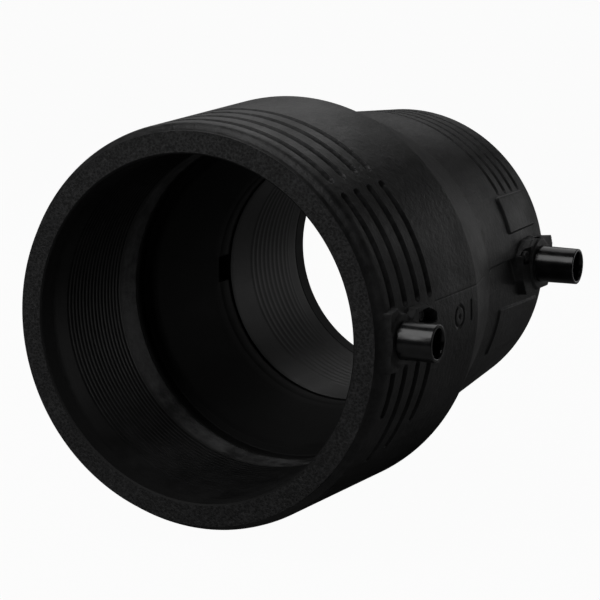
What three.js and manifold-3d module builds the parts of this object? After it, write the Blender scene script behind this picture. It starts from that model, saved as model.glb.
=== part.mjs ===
// Electrofusion reducer for joining a large and a small polyethylene pressure pipe.
//
// Millimetres. +Y runs along the pipe axis from the large socket to the small one,
// +X points out through the two terminals and +Z is up. The origin is the centre of
// the large socket's mouth.

import * as THREE from 'three';
import { mergeVertices } from 'three/addons/utils/BufferGeometryUtils.js';
import Module from 'manifold-3d';

const wasm = await Module();
wasm.setup();

// ---------------------------------------------------------------- driving dimensions

const GAP = 0.3;
const FACETS = 60;
const BODY_LENGTH = 172;

// Steps, walls and heights of each end are measured from its own bore or wall.
const LARGE = {
  boreRadius: 55.3,
  socketDepth: 66,
  wall: 9.6,
  draft: 2.8,
  faceStep: 2.4,
  lipStep: 0.5,
  rimHeight: 2.2,
  lipWidth: 1.2,
  lipBlend: 2.1,
  stopHeight: 2.9,
  shoulderPast: 6,
};

const SMALL = {
  boreRadius: 44.9,
  socketDepth: 68.3,
  wall: 10.3,
  draft: 4,
  taperEnd: 67.6,
  mouthClearance: 0.7,
  endChamfer: 0.8,
};

const LARGE_SLEEVE = {
  inset: 7,
  stopMargin: 6,
  thickness: 3.5,
  outerLand: 7,
  innerLand: 10,
};

const SMALL_SLEEVE = {
  inset: 7,
  stopMargin: 7.3,
  thickness: 4.3,
  outerLand: 8,
  innerLand: 13,
};

const WIRE = {
  radius: 0.55,
  recessClearance: 0.55,
  endMargin: 1.4,
  largePitch: 3,
  smallPitch: 3.8,
  sides: 4,
  stepsPerTurn: 32,
  channelClearance: 0.45,
  linkAngle: 160,
  linkSides: 6,
  linkSteps: 12,
  linkRise: 0.3,
};

const GRIP_GROOVES = {
  width: 3,
  reach: 5,
  large: {
    inset: 9.2,
    pitch: 8.6,
    rootStep: 1,
    arcs: [[49.5, 130.5], [11, 42.5], [137.5, 169]],
    lowerArcStart: 8,
    lowerArcEnds: [19, 35, 32, 25],
  },
  small: {
    inset: 10.2,
    pitch: 7.8,
    rootStep: -1,
    arcs: [[31.5, 148.5]],
    count: 4,
  },
};

const TERMINAL = {
  shroudWall: 1.4,
  shroudLength: 16,
  baseThickness: 1.6,
  flangeWidth: 1.3,
  flangeHeight: 1.6,
  rimChamfer: 0.4,
  pinRadius: 2,
  pinCollar: 1.2,
  pinCollarHeight: 1.4,
  pinNose: 0.6,
  pinRecess: 5.4,
  boreRadius: 4.2,
  facets: 28,
  pinFacets: 16,
};

const LARGE_TERMINAL = { inset: 12, z: 1.5, standOff: 3.2, shroudRadius: 5.9, bossWall: 0.7, bossRise: 1.6 };
const SMALL_TERMINAL = { inset: 18, z: 3, standOff: 9.2, shroudRadius: 6.5, bossWall: 1.4, bossRise: 5 };

const INDICATOR = {
  radius: 1.6,
  height: 2.6,
  headFlange: 0.4,
  headHeight: 1.2,
  headChamfer: 0.3,
  wellClearance: 0.35,
  facets: 18,
};

// Places given as [along the pipe, up] from the middle of the terminal beside them.
const LARGE_INDICATOR = { offset: [18, 4.25], web: 1.4 };
const SMALL_INDICATOR = { offset: [-13, 4.5], web: 5.6 };

const LARGE_HOUSING = {
  outline: [[4.5, 4.9], [8, 8.1], [16.5, 8.1], [24.5, 5.1], [27.5, 1.1], [26, 0.1], [4.5, 0.1]],
  rise: 2.4,
};
const LARGE_POCKET = { outline: [[10.5, 6.8], [21, 6.8], [24.4, 4.3], [25, 1.7], [10.5, 1.7]] };
const SMALL_HOUSING = {
  outline: [[-17, 4.6], [-8, 9.2], [13, 8], [15, 4.5], [11, -9.5], [-13, -9.5], [-17, -4]],
  rise: 4.4,
};
const SMALL_NICHE = { outline: [[-16.4, 7.2], [-9.3, 7.2], [-9.3, 1.8], [-16.4, 1.8]] };
const SMALL_RECESS = {
  outline: [[-60, 0.4], [-47.2, 5.1], [-18, 4.5], [-18, -4], [-30, -7], [-45, -5]],
  wallLeft: 6.1,
};

const PAD = { inset: 7.5, length: 31.5, lowAngle: 16.5, highAngle: 30, rise: 2.2 };
const NOTCH = { width: 9, past: 0.1, radialDepth: 2.6, side: 180 };

// ---------------------------------------------------- sizes that follow from the above

const WALL = {
  faceRadius: LARGE.boreRadius + LARGE.wall - LARGE.faceStep,
  lipRadius: LARGE.boreRadius + LARGE.wall - LARGE.lipStep,
  startRadius: LARGE.boreRadius + LARGE.wall,
  shoulderRadius: LARGE.boreRadius + LARGE.wall + LARGE.draft,
  stopRadius: LARGE.boreRadius - LARGE.stopHeight,
  lipEnd: LARGE.rimHeight + LARGE.lipWidth,
  start: LARGE.rimHeight + LARGE.lipWidth + LARGE.lipBlend,
  shoulder: LARGE.socketDepth + LARGE.shoulderPast,
  mouth: BODY_LENGTH - SMALL.socketDepth,
  mouthRadius: SMALL.boreRadius + SMALL.mouthClearance,
  neck: BODY_LENGTH - SMALL.taperEnd,
  neckRadius: SMALL.boreRadius + SMALL.wall + SMALL.draft,
  endRadius: SMALL.boreRadius + SMALL.wall,
};

/** Every size of one wound sleeve, from its socket's bore and its two ends. */
function sleeveSizes(sleeve, boreRadius, start, end, lowLand, highLand) {
  return {
    start,
    end,
    innerRadius: boreRadius,
    outerRadius: boreRadius + sleeve.thickness,
    recessStart: start + lowLand,
    recessEnd: end - highLand,
    recessRadius: boreRadius + 3 * WIRE.radius + WIRE.recessClearance,
  };
}

/** Every size of the winding that lies in the recess of a sleeve. */
function coilSizes(sleeve, pitch) {
  const start = sleeve.recessStart + WIRE.endMargin;
  const end = sleeve.recessEnd - WIRE.endMargin;
  const turns = Math.max(2, Math.round((end - start) / pitch));
  return { radius: sleeve.innerRadius + 2 * WIRE.radius, start, end, turns };
}

/** Every size of one terminal that stands on a sleeve, at a place along the pipe. */
function terminalSizes(terminal, y, sleeve, wallRadius) {
  const flangeRadius = terminal.shroudRadius + TERMINAL.flangeWidth;
  return {
    ...terminal,
    y,
    seat: sleeve.outerRadius + terminal.standOff,
    flangeRadius,
    bossRadius: flangeRadius + GAP + terminal.bossWall,
    bossTop: wallRadius + terminal.bossRise,
    wallRadius,
  };
}

/** Every size of one fusion indicator beside a terminal, above a sleeve. */
function indicatorSizes(indicator, terminal, sleeve) {
  return {
    y: terminal.y + indicator.offset[0],
    z: terminal.z + indicator.offset[1],
    floor: sleeve.outerRadius + GAP + indicator.web + GAP + INDICATOR.height,
  };
}

/** Outline given from the middle of a terminal, moved to its place. */
function besideTerminal(outline, terminal) {
  return outline.map(([along, up]) => [terminal.y + along, terminal.z + up]);
}

const largeSleeve = sleeveSizes(
  LARGE_SLEEVE, LARGE.boreRadius, LARGE_SLEEVE.inset, LARGE.socketDepth - LARGE_SLEEVE.stopMargin,
  LARGE_SLEEVE.outerLand, LARGE_SLEEVE.innerLand);
const smallSleeve = sleeveSizes(
  SMALL_SLEEVE, SMALL.boreRadius, WALL.mouth + SMALL_SLEEVE.stopMargin, BODY_LENGTH - SMALL_SLEEVE.inset,
  SMALL_SLEEVE.innerLand, SMALL_SLEEVE.outerLand);
const largeCoil = coilSizes(largeSleeve, WIRE.largePitch);
const smallCoil = coilSizes(smallSleeve, WIRE.smallPitch);
const largeTerminal = terminalSizes(
  LARGE_TERMINAL, LARGE_TERMINAL.inset, largeSleeve, WALL.startRadius);
const smallTerminal = terminalSizes(
  SMALL_TERMINAL, BODY_LENGTH - SMALL_TERMINAL.inset, smallSleeve, WALL.endRadius);
const largeIndicator = indicatorSizes(LARGE_INDICATOR, largeTerminal, largeSleeve);
const smallIndicator = indicatorSizes(SMALL_INDICATOR, smallTerminal, smallSleeve);

// ---------------------------------------------------------------------- solid helpers

/** Signed volume of an indexed triangle list; negative when the faces point inwards. */
function signedVolume(positions, indices) {
  const a = new THREE.Vector3();
  const b = new THREE.Vector3();
  const c = new THREE.Vector3();
  let sum = 0;
  for (let i = 0; i < indices.length; i += 3) {
    a.fromArray(positions, indices[i] * 3);
    b.fromArray(positions, indices[i + 1] * 3);
    c.fromArray(positions, indices[i + 2] * 3);
    sum += a.dot(b.cross(c)) / 6;
  }
  return sum;
}

/** Closed three.js geometry as a solid for boolean work, faces turned outwards. */
function solid(geometry) {
  const bare = geometry.clone();
  bare.deleteAttribute('normal');
  bare.deleteAttribute('uv');
  const merged = mergeVertices(bare, 1e-4);
  const positions = Float32Array.from(merged.attributes.position.array);
  const kept = [];
  const source = merged.index.array;
  for (let i = 0; i < source.length; i += 3) {
    const [p, q, r] = [source[i], source[i + 1], source[i + 2]];
    if (p !== q && q !== r && r !== p) {
      kept.push(p, q, r);
    }
  }
  const indices = Uint32Array.from(kept);
  if (signedVolume(positions, indices) < 0) {
    for (let i = 0; i < indices.length; i += 3) {
      const swap = indices[i];
      indices[i] = indices[i + 1];
      indices[i + 1] = swap;
    }
  }
  const mesh = new wasm.Mesh({ numProp: 3, vertProperties: positions, triVerts: indices });
  return new wasm.Manifold(mesh);
}

/** Flat-shaded three.js geometry of a solid. */
function geometryOf(body) {
  const mesh = body.getMesh();
  const geometry = new THREE.BufferGeometry();
  const positions = Float32Array.from(mesh.vertProperties);
  geometry.setAttribute('position', new THREE.BufferAttribute(positions, 3));
  geometry.setIndex(new THREE.BufferAttribute(Uint32Array.from(mesh.triVerts), 1));
  geometry.computeVertexNormals();
  return geometry;
}

/** Solid of revolution about the pipe axis from [radius, y] pairs that close on themselves. */
function turned(profile, facets = FACETS) {
  const points = profile.map(([radius, y]) => new THREE.Vector2(radius, y));
  points.push(points[0].clone());
  return solid(new THREE.LatheGeometry(points, facets));
}

/** Solid of revolution about a line along +X, from [radius, x] pairs that start and end on it. */
function turnedAlongX(profile, y, z, facets) {
  const points = profile.map(([radius, x]) => new THREE.Vector2(radius, x));
  const geometry = new THREE.LatheGeometry(points, facets);
  geometry.rotateZ(-Math.PI / 2);
  geometry.translate(0, y, z);
  return solid(geometry);
}

/** Straight round rod along +X between two x positions. */
function rodAlongX(radius, start, end, y, z, facets) {
  return turnedAlongX([[0, start], [radius, start], [radius, end], [0, end]], y, z, facets);
}

/** Sector of a flat ring standing across the pipe axis, between two angles in degrees. */
function ringSector(inner, outer, fromAngle, toAngle, start, width) {
  const from = THREE.MathUtils.degToRad(fromAngle);
  const to = THREE.MathUtils.degToRad(toAngle);
  const shape = new THREE.Shape();
  shape.absarc(0, 0, outer, from, to, false);
  shape.absarc(0, 0, inner, to, from, true);
  const curveSegments = Math.max(2, Math.round((toAngle - fromAngle) * FACETS / 360));
  const geometry = new THREE.ExtrudeGeometry(shape, { depth: width, bevelEnabled: false, curveSegments });
  geometry.rotateX(Math.PI / 2);
  geometry.translate(0, start + width, 0);
  return solid(geometry);
}

/** Prism along +X whose outline is given as [y, z] pairs. */
function prismAlongX(outline, start, end) {
  const shape = new THREE.Shape(outline.map(([y, z]) => new THREE.Vector2(y, z)));
  const geometry = new THREE.ExtrudeGeometry(shape, { depth: end - start, bevelEnabled: false });
  const axes = new THREE.Matrix4().makeBasis(
    new THREE.Vector3(0, 1, 0),
    new THREE.Vector3(0, 0, 1),
    new THREE.Vector3(1, 0, 0),
  );
  geometry.applyMatrix4(axes);
  geometry.translate(start, 0, 0);
  return solid(geometry);
}

/** Round-section wire or channel that follows a curve. */
function wireAlong(curve, radius, sides, steps) {
  const section = new THREE.Shape();
  for (let i = 0; i < sides; i += 1) {
    const angle = (i + 0.5) * 2 * Math.PI / sides;
    const x = radius * Math.cos(angle);
    const y = radius * Math.sin(angle);
    if (i === 0) {
      section.moveTo(x, y);
    } else {
      section.lineTo(x, y);
    }
  }
  section.closePath();
  return solid(new THREE.ExtrudeGeometry(section, { steps, extrudePath: curve, curveSegments: 1 }));
}

/** Point on a circle round the pipe axis; 0 degrees is +X and 90 degrees is +Z. */
function onCircle(radius, angle, y) {
  const turn = THREE.MathUtils.degToRad(angle);
  return new THREE.Vector3(radius * Math.cos(turn), y, radius * Math.sin(turn));
}

// --------------------------------------------------------------------------- materials

/** Material of one kind of piece. */
function finish(color, roughness, metalness = 0) {
  return new THREE.MeshStandardMaterial({ color, roughness, metalness });
}

/** Black polyethylene of the moulding. */
function polyethylene() {
  return finish(0x1b1c1d, 0.55);
}

/** Polyethylene of the wound sleeves. */
function sleevePlastic() {
  return finish(0x232425, 0.45);
}

/** Glossy black terminal plastic. */
function shroudPlastic() {
  return finish(0x0e0f10, 0.2);
}

/** Brass of the contact pins. */
function brass() {
  return finish(0xb8924a, 0.3, 1);
}

/** Bare copper alloy heating wire. */
function heatingWire() {
  return finish(0xa86a45, 0.4, 1);
}

/** Mesh with a name, made from a solid. */
function piece(name, body, material) {
  const mesh = new THREE.Mesh(geometryOf(body), material);
  mesh.name = name;
  return mesh;
}

// -------------------------------------------------------------------------- the moulding

/** Outer and inner skin of the moulding before anything is cut from it. */
function bodyShell() {
  const largeRecess = largeSleeve.outerRadius + GAP;
  const smallRecess = smallSleeve.outerRadius + GAP;
  return turned([
    [LARGE.boreRadius, 0],
    [WALL.faceRadius, 0],
    [WALL.faceRadius, LARGE.rimHeight],
    [WALL.lipRadius, WALL.lipEnd],
    [WALL.startRadius, WALL.start],
    [WALL.shoulderRadius, WALL.shoulder],
    [WALL.neckRadius, WALL.neck],
    [WALL.endRadius, BODY_LENGTH - SMALL.endChamfer],
    [WALL.endRadius - SMALL.endChamfer, BODY_LENGTH],
    [SMALL.boreRadius, BODY_LENGTH],
    [SMALL.boreRadius, smallSleeve.end + GAP],
    [smallRecess, smallSleeve.end + GAP],
    [smallRecess, smallSleeve.start - GAP],
    [WALL.mouthRadius, smallSleeve.start - GAP],
    [WALL.mouthRadius, WALL.mouth],
    [WALL.stopRadius, LARGE.socketDepth],
    [LARGE.boreRadius, LARGE.socketDepth],
    [LARGE.boreRadius, largeSleeve.end + GAP],
    [largeRecess, largeSleeve.end + GAP],
    [largeRecess, largeSleeve.start - GAP],
    [LARGE.boreRadius, largeSleeve.start - GAP],
  ]);
}

/** One row of grip groove cutters, a cutter for each arc. */
function gripGroove(centre, bottomRadius, arcs) {
  const start = centre - GRIP_GROOVES.width / 2;
  const outer = bottomRadius + GRIP_GROOVES.reach;
  return arcs.map(([from, to]) => ringSector(bottomRadius, outer, from, to, start, GRIP_GROOVES.width));
}

/** Grip grooves of the large end; the lower arcs end at staggered angles on both sides. */
function largeGripGrooves() {
  const { inset, pitch, rootStep, arcs, lowerArcStart, lowerArcEnds } = GRIP_GROOVES.large;
  return lowerArcEnds.flatMap((lowerEnd, i) => gripGroove(inset + i * pitch, WALL.startRadius - rootStep, [
    ...arcs,
    [-lowerEnd, -lowerArcStart],
    [180 + lowerArcStart, 180 + lowerEnd],
  ]));
}

/** Grip grooves of the small end, counted from the end of the body. */
function smallGripGrooves() {
  const { inset, pitch, rootStep, arcs, count } = GRIP_GROOVES.small;
  const cutters = [];
  for (let i = 0; i < count; i += 1) {
    const centre = BODY_LENGTH - inset - i * pitch;
    cutters.push(...gripGroove(centre, WALL.endRadius + rootStep, arcs));
  }
  return cutters;
}

/** Round boss that one terminal stands in. */
function terminalBoss(terminal, sleeve) {
  const root = sleeve.outerRadius + GAP + 2;
  return rodAlongX(
    terminal.bossRadius, root, terminal.bossTop, terminal.y, terminal.z, TERMINAL.facets);
}

/** Socket for one terminal: a seat that traps the flange, a hole for the tube and a wire bore. */
function terminalSocket(terminal, sleeve) {
  const { seat, y, z } = terminal;
  const seatTop = seat + TERMINAL.flangeHeight + GAP;
  const reach = Math.max(terminal.bossTop, WALL.shoulderRadius) + 2;
  return [
    rodAlongX(terminal.flangeRadius + GAP, seat - GAP, seatTop, y, z, TERMINAL.facets),
    rodAlongX(terminal.shroudRadius + GAP, seat, reach, y, z, TERMINAL.facets),
    rodAlongX(TERMINAL.boreRadius, sleeve.outerRadius, seat, y, z, TERMINAL.pinFacets),
  ];
}

/** Well that guides one fusion indicator. */
function indicatorWell(indicator) {
  const radius = INDICATOR.radius + INDICATOR.wellClearance;
  const bottom = indicator.floor - INDICATOR.height - GAP;
  return rodAlongX(radius, bottom, indicator.floor + 1, indicator.y, indicator.z, INDICATOR.facets);
}

/** Position along the pipe axis of a winding where it passes the link wire's angle. */
function windingAtLink(coil, turn) {
  const progress = (turn + WIRE.linkAngle / 360) / coil.turns;
  return THREE.MathUtils.lerp(coil.start, coil.end, progress);
}

/** Curve inside the taper from the last turn of one winding to the first of the other. */
function linkCurve() {
  const clear = 2 * WIRE.radius + GAP;
  const startY = windingAtLink(largeCoil, largeCoil.turns - 1) + clear;
  const endY = windingAtLink(smallCoil, 0) - clear;
  return new THREE.CatmullRomCurve3([
    onCircle(largeCoil.radius + WIRE.linkRise, WIRE.linkAngle, startY),
    onCircle(largeSleeve.recessRadius - GAP, WIRE.linkAngle, largeSleeve.end),
    onCircle(smallSleeve.recessRadius + 1, WIRE.linkAngle, smallSleeve.start),
    onCircle(smallCoil.radius + WIRE.linkRise, WIRE.linkAngle, endY),
  ]);
}

/** Channel that the link wire runs in. */
function linkChannel() {
  const radius = WIRE.radius + WIRE.channelClearance;
  return wireAlong(linkCurve(), radius, WIRE.linkSides, WIRE.linkSteps);
}

/** Raised block of the wall beside a terminal, seen square on from +X. */
function housing(block, terminal) {
  const outline = besideTerminal(block.outline, terminal);
  const root = terminal.wallRadius - 3;
  return prismAlongX(outline, root, terminal.wallRadius + block.rise);
}

/** Pocket beside a terminal, cut down to a floor. */
function pocket(shape, terminal, floor) {
  return prismAlongX(besideTerminal(shape.outline, terminal), floor, WALL.shoulderRadius + 6);
}

/** Square notch in the rim between the taper and the small socket. */
function rimNotch() {
  const past = smallSleeve.start - GAP + NOTCH.past;
  const corners = [[-1, WALL.mouth - 2], [-1, past], [1, past], [1, WALL.mouth - 2]];
  return prismAlongX(
    corners.map(([side, y]) => [y, side * NOTCH.width / 2]),
    -WALL.mouthRadius - NOTCH.radialDepth,
    -SMALL.boreRadius + 8,
  );
}

/** The moulded body with every groove, pocket, well, seat and channel cut. */
function reducerBody() {
  const padStart = BODY_LENGTH - PAD.inset - PAD.length;
  const pad = ringSector(
    smallSleeve.outerRadius + 2, WALL.endRadius + PAD.rise, PAD.lowAngle, PAD.highAngle,
    padStart, PAD.length);
  const raised = [
    pad,
    terminalBoss(largeTerminal, largeSleeve),
    terminalBoss(smallTerminal, smallSleeve),
    housing(LARGE_HOUSING, largeTerminal),
    housing(SMALL_HOUSING, smallTerminal),
  ];
  const cutters = [
    ...largeGripGrooves(),
    ...smallGripGrooves(),
    pocket(LARGE_POCKET, largeTerminal, largeIndicator.floor),
    pocket(SMALL_NICHE, smallTerminal, smallIndicator.floor),
    pocket(SMALL_RECESS, smallTerminal, smallSleeve.outerRadius + GAP + SMALL_RECESS.wallLeft),
    indicatorWell(largeIndicator),
    indicatorWell(smallIndicator),
    ...terminalSocket(largeTerminal, largeSleeve),
    ...terminalSocket(smallTerminal, smallSleeve),
    linkChannel(),
    rimNotch(),
  ];
  const blank = raised.reduce((body, block) => body.add(block), bodyShell());
  return cutters.reduce((body, cutter) => body.subtract(cutter), blank);
}

// ---------------------------------------------------------------------------- windings

/** Wound sleeve: a ring with a recess for the wire and holes where the wire passes. */
function windingSleeve(sleeve, holes) {
  const ring = turned([
    [sleeve.innerRadius, sleeve.start],
    [sleeve.outerRadius, sleeve.start],
    [sleeve.outerRadius, sleeve.end],
    [sleeve.innerRadius, sleeve.end],
    [sleeve.innerRadius, sleeve.recessEnd],
    [sleeve.recessRadius, sleeve.recessEnd],
    [sleeve.recessRadius, sleeve.recessStart],
    [sleeve.innerRadius, sleeve.recessStart],
  ]);
  return holes.reduce((body, hole) => body.subtract(hole), ring);
}

/** Helix of heating wire. */
class Helix extends THREE.Curve {
  constructor(coil) {
    super();
    this.coil = coil;
  }

  getPoint(t, target = new THREE.Vector3()) {
    const { radius, start, end, turns } = this.coil;
    const point = onCircle(radius, t * turns * 360, THREE.MathUtils.lerp(start, end, t));
    return target.copy(point);
  }
}

/** Winding of one socket. */
function socketCoil(coil) {
  return wireAlong(new Helix(coil), WIRE.radius, WIRE.sides, coil.turns * WIRE.stepsPerTurn);
}

/** Short riser that brings one end of a winding out to its terminal. */
function coilLead(terminal, coil, y) {
  const lowY = THREE.MathUtils.lerp(y, terminal.y, 0.2);
  const highY = THREE.MathUtils.lerp(y, terminal.y, 0.7);
  const start = new THREE.Vector3(coil.radius + WIRE.radius + GAP, lowY, WIRE.radius);
  const knee = new THREE.Vector3(terminal.seat - 1.6, highY, terminal.z);
  const end = new THREE.Vector3(terminal.seat - GAP, terminal.y, terminal.z);
  const curve = new THREE.CatmullRomCurve3([start, knee, end]);
  return wireAlong(curve, WIRE.radius, WIRE.linkSides, 4);
}

/** Hole through a sleeve for the lead of one terminal. */
function leadHole(terminal, sleeve) {
  return rodAlongX(
    TERMINAL.boreRadius, sleeve.recessRadius - 1, sleeve.outerRadius + 1,
    terminal.y, terminal.z, TERMINAL.pinFacets);
}

// ---------------------------------------------------------------------------- terminals

/** Shroud round one contact pin, with a flange that sits in the moulding. */
function terminalShroud(terminal) {
  const foot = terminal.seat;
  const flangeTop = foot + TERMINAL.flangeHeight;
  const tip = foot + TERMINAL.shroudLength;
  const bore = terminal.shroudRadius - TERMINAL.shroudWall;
  const shell = turnedAlongX(
    [
      [0, foot],
      [terminal.flangeRadius, foot],
      [terminal.flangeRadius, flangeTop],
      [terminal.shroudRadius, flangeTop],
      [terminal.shroudRadius, tip - TERMINAL.rimChamfer],
      [terminal.shroudRadius - TERMINAL.rimChamfer, tip],
      [bore, tip],
      [bore, foot + TERMINAL.baseThickness],
      [0, foot + TERMINAL.baseThickness],
    ],
    terminal.y, terminal.z, TERMINAL.facets);
  const hole = rodAlongX(
    TERMINAL.pinRadius + GAP, foot - 1, tip, terminal.y, terminal.z, TERMINAL.pinFacets);
  return shell.subtract(hole);
}

/** Brass contact pin held in the base of its shroud. */
function terminalPin(terminal) {
  const foot = terminal.seat + GAP;
  const collarStart = terminal.seat + TERMINAL.baseThickness + GAP;
  const collarEnd = collarStart + TERMINAL.pinCollarHeight;
  const tip = terminal.seat + TERMINAL.shroudLength - TERMINAL.pinRecess;
  const collar = TERMINAL.pinRadius + TERMINAL.pinCollar;
  return turnedAlongX(
    [
      [0, foot],
      [TERMINAL.pinRadius, foot],
      [TERMINAL.pinRadius, collarStart],
      [collar, collarStart],
      [collar, collarEnd],
      [TERMINAL.pinRadius, collarEnd],
      [TERMINAL.pinRadius, tip - TERMINAL.pinNose],
      [TERMINAL.pinRadius - TERMINAL.pinNose, tip],
      [0, tip],
    ],
    terminal.y, terminal.z, TERMINAL.pinFacets);
}

/** Fusion indicator: a plain pin with a wider head, free to rise out of its well. */
function fusionIndicator(indicator) {
  const foot = indicator.floor - INDICATOR.height;
  const headStart = indicator.floor + GAP;
  const headTop = headStart + INDICATOR.headHeight;
  const headRadius = INDICATOR.radius + INDICATOR.headFlange;
  return turnedAlongX(
    [
      [0, foot],
      [INDICATOR.radius, foot],
      [INDICATOR.radius, headStart],
      [headRadius, headStart],
      [headRadius, headTop - INDICATOR.headChamfer],
      [headRadius - INDICATOR.headChamfer, headTop],
      [0, headTop],
    ],
    indicator.y, indicator.z, INDICATOR.facets);
}

// ----------------------------------------------------------------------------- assembly

const part = new THREE.Group();
part.name = 'electrofusion_reducer';
part.add(
  piece('reducer_body', reducerBody(), polyethylene()),
  piece(
    'large_winding_sleeve',
    windingSleeve(largeSleeve, [leadHole(largeTerminal, largeSleeve), linkChannel()]),
    sleevePlastic()),
  piece(
    'small_winding_sleeve',
    windingSleeve(smallSleeve, [leadHole(smallTerminal, smallSleeve), linkChannel()]),
    sleevePlastic()),
  piece('large_socket_coil', socketCoil(largeCoil), heatingWire()),
  piece('small_socket_coil', socketCoil(smallCoil), heatingWire()),
  piece(
    'coil_link_wire',
    wireAlong(linkCurve(), WIRE.radius, WIRE.linkSides, WIRE.linkSteps),
    heatingWire()),
  piece('large_coil_lead', coilLead(largeTerminal, largeCoil, largeCoil.start), heatingWire()),
  piece('small_coil_lead', coilLead(smallTerminal, smallCoil, smallCoil.end), heatingWire()),
  piece('large_terminal_shroud', terminalShroud(largeTerminal), shroudPlastic()),
  piece('small_terminal_shroud', terminalShroud(smallTerminal), shroudPlastic()),
  piece('large_terminal_pin', terminalPin(largeTerminal), brass()),
  piece('small_terminal_pin', terminalPin(smallTerminal), brass()),
  piece('large_fusion_indicator', fusionIndicator(largeIndicator), polyethylene()),
  piece('small_fusion_indicator', fusionIndicator(smallIndicator), polyethylene()),
);

export default part;
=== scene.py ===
"""Electrofusion reducer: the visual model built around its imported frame."""

import logging
import math
from dataclasses import dataclass
from enum import Enum
from typing import Iterable, Sequence, Union

import bmesh
import bpy
import numpy as np
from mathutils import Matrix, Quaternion, Vector


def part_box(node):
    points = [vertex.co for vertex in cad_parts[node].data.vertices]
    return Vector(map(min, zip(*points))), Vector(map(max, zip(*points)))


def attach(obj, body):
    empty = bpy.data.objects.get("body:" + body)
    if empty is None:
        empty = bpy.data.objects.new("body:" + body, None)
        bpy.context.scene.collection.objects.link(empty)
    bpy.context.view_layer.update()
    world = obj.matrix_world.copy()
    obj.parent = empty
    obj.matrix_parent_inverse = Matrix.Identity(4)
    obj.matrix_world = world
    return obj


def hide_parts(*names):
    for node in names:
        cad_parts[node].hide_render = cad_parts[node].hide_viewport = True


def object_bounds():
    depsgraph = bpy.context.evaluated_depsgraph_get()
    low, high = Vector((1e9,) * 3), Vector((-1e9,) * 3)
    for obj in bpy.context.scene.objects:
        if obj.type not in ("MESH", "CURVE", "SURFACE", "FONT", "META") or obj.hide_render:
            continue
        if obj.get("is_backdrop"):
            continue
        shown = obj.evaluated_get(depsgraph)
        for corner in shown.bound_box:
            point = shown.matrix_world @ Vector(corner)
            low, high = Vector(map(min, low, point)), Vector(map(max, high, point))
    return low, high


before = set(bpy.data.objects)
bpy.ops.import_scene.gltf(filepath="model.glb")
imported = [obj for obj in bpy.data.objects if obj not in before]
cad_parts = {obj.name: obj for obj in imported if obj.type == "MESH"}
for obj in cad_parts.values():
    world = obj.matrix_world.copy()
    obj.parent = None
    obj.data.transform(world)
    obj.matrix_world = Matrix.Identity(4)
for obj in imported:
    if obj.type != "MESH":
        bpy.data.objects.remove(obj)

LOG = logging.getLogger("reducer")
MM = 0.001
BODY = "fitting"
FACING = 0.7
STEEPEST = 0.5
JOIN = 1e-6
Array = np.ndarray
Number = Union[int, float]


# --------------------------------------------------------------------------- shader graph


class Signal:
    """A shader number that can be used in ordinary arithmetic."""

    def __init__(self, graph: "Graph", socket: bpy.types.NodeSocket) -> None:
        """Keep the graph and the socket that carries the number.

        Args:
            graph: The graph that new Math nodes go into.
            socket: The output socket.
        """
        self.graph = graph
        self.socket = socket

    def _math(self, operation: str, *values: "Operand") -> "Signal":
        """Add a Math node.

        Args:
            operation: What the node works out.
            values: Its inputs in order.

        Returns:
            The node's result.
        """
        inputs = dict(enumerate(values))
        node = self.graph.node("ShaderNodeMath", {"operation": operation}, inputs)
        return Signal(self.graph, node.outputs[0])

    def __add__(self, other: "Operand") -> "Signal":
        """Sum."""
        return self._math("ADD", self, other)

    __radd__ = __add__

    def __sub__(self, other: "Operand") -> "Signal":
        """Difference."""
        return self._math("SUBTRACT", self, other)

    def __rsub__(self, other: "Operand") -> "Signal":
        """Difference with the number on the left."""
        return self._math("SUBTRACT", other, self)

    def __mul__(self, other: "Operand") -> "Signal":
        """Product."""
        return self._math("MULTIPLY", self, other)

    __rmul__ = __mul__

    def ramp(self, low: Number, high: Number) -> "Signal":
        """Smooth step from 0 at low to 1 at high; low may be the larger.

        Args:
            low: Value that gives 0.
            high: Value that gives 1.

        Returns:
            The stepped signal.
        """
        flip = low > high
        first, last = (high, low) if flip else (low, high)
        node = self.graph.node(
            "ShaderNodeMapRange",
            {"interpolation_type": "SMOOTHSTEP"},
            {"Value": self, "From Min": first, "From Max": last},
        )
        signal = Signal(self.graph, node.outputs["Result"])
        return 1.0 - signal if flip else signal


Operand = Union[Signal, Number]
Colour = tuple[float, float, float]


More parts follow.
